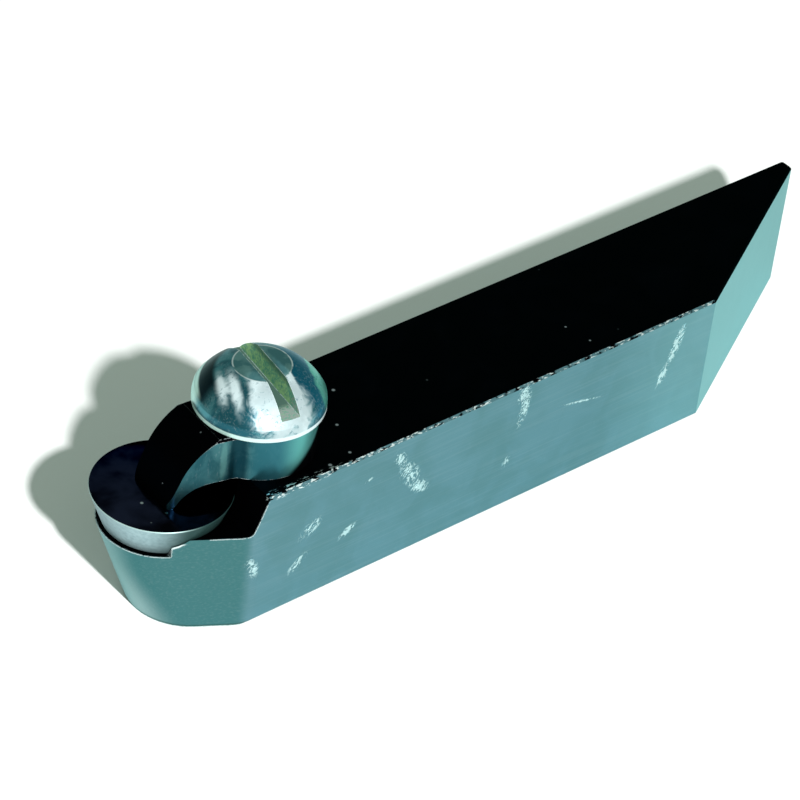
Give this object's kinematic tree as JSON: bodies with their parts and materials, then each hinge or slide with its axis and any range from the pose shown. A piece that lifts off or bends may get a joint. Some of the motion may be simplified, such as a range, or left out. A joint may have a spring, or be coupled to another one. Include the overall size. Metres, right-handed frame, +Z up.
{
  "type": "lathe tool holder",
  "caption": "Lathe tool holder with a square steel bar, a mitred tail and a round cutting insert held by a clawed clamp under a slotted dome screw.",
  "frame": {"origin": "on the flat underside of the bar, below the axis of the round insert", "axes": "+X along the bar from the insert towards the tail, +Z up out of the insert's top face, +Y towards the long side of the bar"},
  "size_m": [0.0812, 0.014, 0.0207],
  "materials": {
    "bar_steel": "ground and blackened steel, satin",
    "hard_metal": "sintered hard metal, ground bright on its flank",
    "clamp_steel": "blackened steel, satin",
    "plated_steel": "bright zinc plate"
  },
  "bodies": {
    "holder": {"holder": "bar_steel"},
    "insert": {"insert": "hard_metal"},
    "clamp": {"clamp": "clamp_steel"},
    "clamp_screw": {"clamp_screw": "plated_steel"}
  },
  "joints": [
    {"name": "clamp_lift", "type": "slide", "parent": "holder", "child": "clamp", "axis": [0, 0, 1], "range_m": [0, 0.003]},
    {"name": "screw_turn", "type": "hinge", "parent": "clamp", "child": "clamp_screw", "pos_m": [0.00833, -0.00143, 0.0127], "axis": [0, 0, 1], "range_deg": [0, 1542.91]},
    {"name": "insert_turn", "type": "hinge", "parent": "holder", "child": "insert", "pos_m": [0, 0, 0.0076], "axis": [0, 0, 1], "continuous": true}
  ],
  "couplings": [
    {"joint": "screw_turn", "follows": "clamp_lift", "rad_per_m": 8976}
  ]
}
